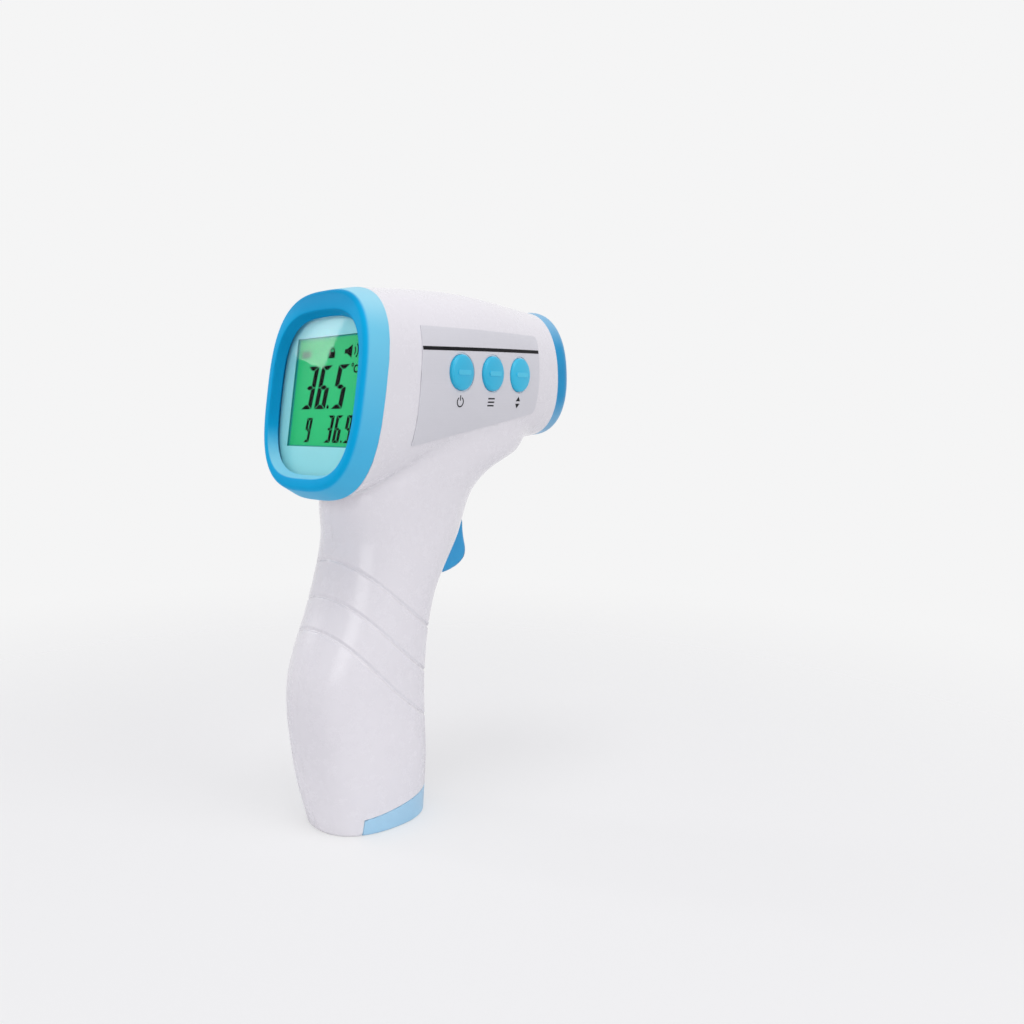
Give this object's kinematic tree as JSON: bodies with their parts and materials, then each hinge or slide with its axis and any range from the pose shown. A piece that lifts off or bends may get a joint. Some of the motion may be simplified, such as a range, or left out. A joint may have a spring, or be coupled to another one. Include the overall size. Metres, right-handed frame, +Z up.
{
  "type": "non-contact thermometer",
  "caption": "Pistol-grip non-contact thermometer with a rear display, side buttons, finger trigger, nose port and hinged battery door.",
  "frame": {"origin": "middle of the flat foot, on the surface it stands on", "axes": "+X towards the nose, +Y to the user's left, +Z up"},
  "size_m": [0.0969, 0.0462, 0.1481],
  "materials": {
    "white_plastic": "satin moulded ABS",
    "blue_plastic": "satin moulded ABS",
    "pale_blue_plastic": "satin moulded ABS",
    "cyan_plastic": "matt",
    "clear_window": "clear acrylic",
    "lcd_glass": "reflective display",
    "diffuser": "milky",
    "elastomer": "soft",
    "circuit_board": "solder resist",
    "black_plastic": "matt",
    "grey_plastic": "matt",
    "steel": "plated",
    "infrared_filter": "coated silicon",
    "label_film": "printed film",
    "cell_wrap": "printed wrap",
    "lead_sheath": "matt"
  },
  "bodies": {
    "body": {"right_shell": "white_plastic", "left_shell": "white_plastic", "lcd_bezel": "blue_plastic", "nose_ring": "blue_plastic", "lcd_holder": "cyan_plastic", "display_window": "clear_window", "lcd_panel": "lcd_glass", "backlight": "diffuser", "contact_strips": "elastomer", "main_board": "circuit_board", "sensor_board": "circuit_board", "switch_board": "circuit_board", "key_board": "circuit_board", "controller_chip": "black_plastic", "buzzer": "black_plastic", "sensor_holder": "black_plastic", "trigger_switch": "black_plastic", "key_switches": "black_plastic", "battery_holder": "black_plastic", "trigger_bracket": "grey_plastic", "board_screws": "steel", "sensor_can": "steel", "sensor_screws": "steel", "trigger_pin": "steel", "trigger_spring": "steel", "door_pin": "steel", "battery_spring": "steel", "battery_plate": "steel", "case_screws": "steel", "sensor_window": "infrared_filter", "side_label": "label_film", "left_battery": "cell_wrap", "right_battery": "cell_wrap", "battery_leads": "lead_sheath", "sensor_lead": "lead_sheath", "key_lead": "lead_sheath", "trigger_lead": "lead_sheath"},
    "trigger": {"trigger": "blue_plastic"},
    "trigger_plunger": {"trigger_plunger": "grey_plastic"},
    "rear_button": {"rear_button": "blue_plastic", "rear_plunger": "grey_plastic"},
    "middle_button": {"middle_button": "blue_plastic", "middle_plunger": "grey_plastic"},
    "front_button": {"front_button": "blue_plastic", "front_plunger": "grey_plastic"},
    "battery_door": {"battery_door": "pale_blue_plastic", "door_contact": "steel"}
  },
  "joints": [
    {"name": "trigger_pull", "type": "hinge", "parent": "body", "child": "trigger", "pos_m": [0.0284, 0, 0.091], "axis": [0, 1, 0], "range_deg": [0, 7], "stiffness_Nm_per_rad": 0.2, "deforming": ["trigger_spring"]},
    {"name": "switch_press", "type": "slide", "parent": "body", "child": "trigger_plunger", "axis": [-1, 0, 0], "range_m": [0, 0.00135]},
    {"name": "rear_button_press", "type": "slide", "parent": "body", "child": "rear_button", "axis": [-0.1307, 0.9914, 0], "range_m": [0, 0.0006], "stiffness_N_per_m": 800},
    {"name": "middle_button_press", "type": "slide", "parent": "body", "child": "middle_button", "axis": [-0.1307, 0.9914, 0], "range_m": [0, 0.0006], "stiffness_N_per_m": 800},
    {"name": "front_button_press", "type": "slide", "parent": "body", "child": "front_button", "axis": [-0.1307, 0.9914, 0], "range_m": [0, 0.0006], "stiffness_N_per_m": 800},
    {"name": "door_swing", "type": "hinge", "parent": "body", "child": "battery_door", "pos_m": [-0.0118, 0, 0.0015], "axis": [0, 1, 0], "range_deg": [0, 90]}
  ],
  "couplings": [
    {"joint": "switch_press", "follows": "trigger_pull", "m_per_rad": 0.011}
  ]
}
